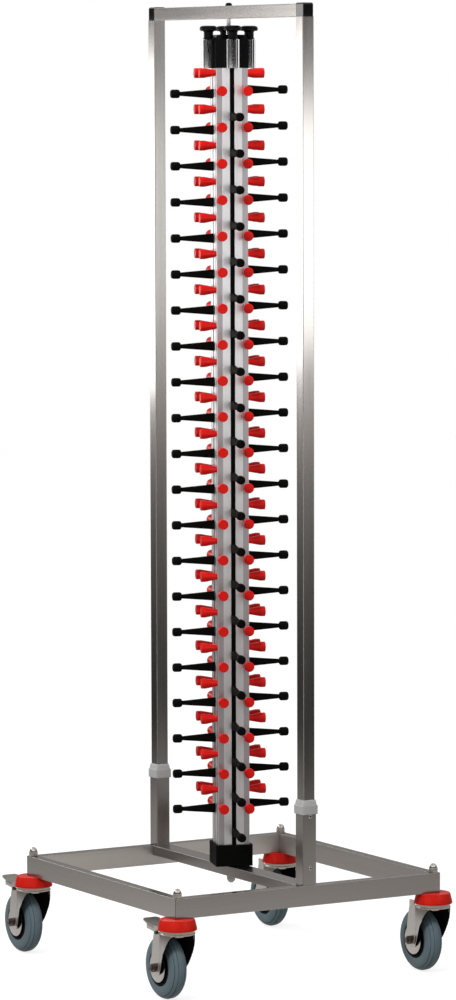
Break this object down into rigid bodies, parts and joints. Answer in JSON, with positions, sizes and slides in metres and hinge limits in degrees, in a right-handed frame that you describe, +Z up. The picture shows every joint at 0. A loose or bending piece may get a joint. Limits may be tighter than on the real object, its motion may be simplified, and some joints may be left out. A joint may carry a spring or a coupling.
{
  "type": "mobile plate stand",
  "caption": "Mobile plate stand: a turning column with rows of pegs and height-adjustable arm racks, in a tubular push frame on a square base with four swivel castors.",
  "frame": {"origin": "on the floor, under the axis on which the column turns", "axes": "+Z up along the column; X in the plane of the push frame, from its left post to its right post; the two braked castors are on the -Y side"},
  "size_m": [0.731, 0.656, 1.9074],
  "materials": {
    "satin_steel": "satin stainless tube",
    "column_aluminium": "drawn, satin",
    "black_plastic": "moulded, low sheen",
    "black_gloss": "moulded, glossy",
    "red_plastic": "moulded, smooth",
    "bumper_red": "moulded, smooth",
    "grey_plastic": "moulded, matt",
    "polished_steel": "polished",
    "zinc_steel": "zinc plated, pressed",
    "dark_steel": "blackened",
    "tyre_grey": "moulded, smooth tread",
    "wheel_black": "moulded",
    "bush_white": "turned"
  },
  "bodies": {
    "frame": {"front_rail": "satin_steel", "back_rail": "satin_steel", "left_rail": "satin_steel", "right_rail": "satin_steel", "cross_rail": "satin_steel", "left_stub_post": "satin_steel", "right_stub_post": "satin_steel", "post_collars": "grey_plastic", "left_upright": "satin_steel", "right_upright": "satin_steel", "top_bar": "satin_steel", "corner_connectors": "black_gloss", "post_screws": "zinc_steel", "spindle": "zinc_steel", "spindle_cap_nut": "black_gloss", "thrust_washer": "bush_white", "castor_nuts": "zinc_steel", "castor_stems": "zinc_steel", "castor_bumpers": "bumper_red"},
    "column": {"foot_block": "black_gloss", "column_extrusion": "column_aluminium", "top_block": "black_gloss", "adjuster_sleeves": "polished_steel", "plate_pegs": "red_plastic", "spindle_bushes": "bush_white"},
    "rack_right": {"rack_bar_right": "black_plastic", "rack_arms_right": "black_plastic", "arm_caps_right": "black_plastic"},
    "knob_right": {"adjuster_knob_right": "black_gloss"},
    "rack_back": {"rack_bar_back": "black_plastic", "rack_arms_back": "black_plastic", "arm_caps_back": "black_plastic"},
    "knob_back": {"adjuster_knob_back": "black_gloss"},
    "rack_left": {"rack_bar_left": "black_plastic", "rack_arms_left": "black_plastic", "arm_caps_left": "black_plastic"},
    "knob_left": {"adjuster_knob_left": "black_gloss"},
    "rack_front": {"rack_bar_front": "black_plastic", "rack_arms_front": "black_plastic", "arm_caps_front": "black_plastic"},
    "knob_front": {"adjuster_knob_front": "black_gloss"},
    "castor_front_left": {"fork_front_left": "zinc_steel", "axle_front_left": "zinc_steel"},
    "wheel_front_left": {"hub_front_left": "wheel_black", "tyre_front_left": "tyre_grey"},
    "pedal_front_left": {"pedal_front_left": "zinc_steel"},
    "castor_front_right": {"fork_front_right": "zinc_steel", "axle_front_right": "zinc_steel"},
    "wheel_front_right": {"hub_front_right": "wheel_black", "tyre_front_right": "tyre_grey"},
    "pedal_front_right": {"pedal_front_right": "zinc_steel"},
    "castor_back_left": {"fork_back_left": "zinc_steel", "axle_back_left": "zinc_steel"},
    "wheel_back_left": {"hub_back_left": "wheel_black", "tyre_back_left": "tyre_grey"},
    "castor_back_right": {"fork_back_right": "zinc_steel", "axle_back_right": "zinc_steel"},
    "wheel_back_right": {"hub_back_right": "wheel_black", "tyre_back_right": "tyre_grey"}
  },
  "joints": [
    {"name": "column_turn", "type": "hinge", "parent": "frame", "child": "column", "pos_m": [0, 0, 0.203], "axis": [0, 0, 1], "continuous": true},
    {"name": "rack_right_height", "type": "slide", "parent": "column", "child": "rack_right", "axis": [0, 0, 1], "range_m": [-0.0117, 0.0243]},
    {"name": "knob_right_turn", "type": "hinge", "parent": "column", "child": "knob_right", "pos_m": [0.03825, -0.01332, 1.83585], "axis": [0, 0, 1], "range_deg": [-1110, 1110]},
    {"name": "rack_back_height", "type": "slide", "parent": "column", "child": "rack_back", "axis": [0, 0, 1], "range_m": [-0.0295, 0.0065]},
    {"name": "knob_back_turn", "type": "hinge", "parent": "column", "child": "knob_back", "pos_m": [0.01332, 0.03825, 1.83585], "axis": [0, 0, 1], "range_deg": [-1340, 1340]},
    {"name": "rack_left_height", "type": "slide", "parent": "column", "child": "rack_left", "axis": [0, 0, 1], "range_m": [-0.02, 0.016]},
    {"name": "knob_left_turn", "type": "hinge", "parent": "column", "child": "knob_left", "pos_m": [-0.03825, 0.01332, 1.83585], "axis": [0, 0, 1], "range_deg": [-910, 910]},
    {"name": "rack_front_height", "type": "slide", "parent": "column", "child": "rack_front", "axis": [0, 0, 1], "range_m": [-0.0215, 0.0145]},
    {"name": "knob_front_turn", "type": "hinge", "parent": "column", "child": "knob_front", "pos_m": [-0.01332, -0.03825, 1.83585], "axis": [0, 0, 1], "range_deg": [-980, 980]},
    {"name": "castor_front_left_swivel", "type": "hinge", "parent": "frame", "child": "castor_front_left", "pos_m": [-0.293, -0.29, 0.149], "axis": [0, 0, 1], "continuous": true},
    {"name": "wheel_front_left_roll", "type": "hinge", "parent": "castor_front_left", "child": "wheel_front_left", "pos_m": [-0.3375, -0.29, 0.0625], "axis": [0, 1, 0], "continuous": true},
    {"name": "pedal_front_left_press", "type": "hinge", "parent": "castor_front_left", "child": "pedal_front_left", "pos_m": [-0.3315, -0.29, 0.132], "axis": [0, -1, 0], "range_deg": [0, 12]},
    {"name": "castor_front_right_swivel", "type": "hinge", "parent": "frame", "child": "castor_front_right", "pos_m": [0.293, -0.29, 0.149], "axis": [0, 0, 1], "continuous": true},
    {"name": "wheel_front_right_roll", "type": "hinge", "parent": "castor_front_right", "child": "wheel_front_right", "pos_m": [0.2485, -0.29, 0.0625], "axis": [0, 1, 0], "continuous": true},
    {"name": "pedal_front_right_press", "type": "hinge", "parent": "castor_front_right", "child": "pedal_front_right", "pos_m": [0.2545, -0.29, 0.132], "axis": [0, -1, 0], "range_deg": [0, 12]},
    {"name": "castor_back_left_swivel", "type": "hinge", "parent": "frame", "child": "castor_back_left", "pos_m": [-0.293, 0.29, 0.149], "axis": [0, 0, 1], "continuous": true},
    {"name": "wheel_back_left_roll", "type": "hinge", "parent": "castor_back_left", "child": "wheel_back_left", "pos_m": [-0.3375, 0.29, 0.0625], "axis": [0, 1, 0], "continuous": true},
    {"name": "castor_back_right_swivel", "type": "hinge", "parent": "frame", "child": "castor_back_right", "pos_m": [0.293, 0.29, 0.149], "axis": [0, 0, 1], "continuous": true},
    {"name": "wheel_back_right_roll", "type": "hinge", "parent": "castor_back_right", "child": "wheel_back_right", "pos_m": [0.2485, 0.29, 0.0625], "axis": [0, 1, 0], "continuous": true}
  ],
  "couplings": [
    {"joint": "knob_right_turn", "follows": "rack_right_height", "rad_per_m": -785.4},
    {"joint": "knob_back_turn", "follows": "rack_back_height", "rad_per_m": -785.4},
    {"joint": "knob_left_turn", "follows": "rack_left_height", "rad_per_m": -785.4},
    {"joint": "knob_front_turn", "follows": "rack_front_height", "rad_per_m": -785.4}
  ]
}
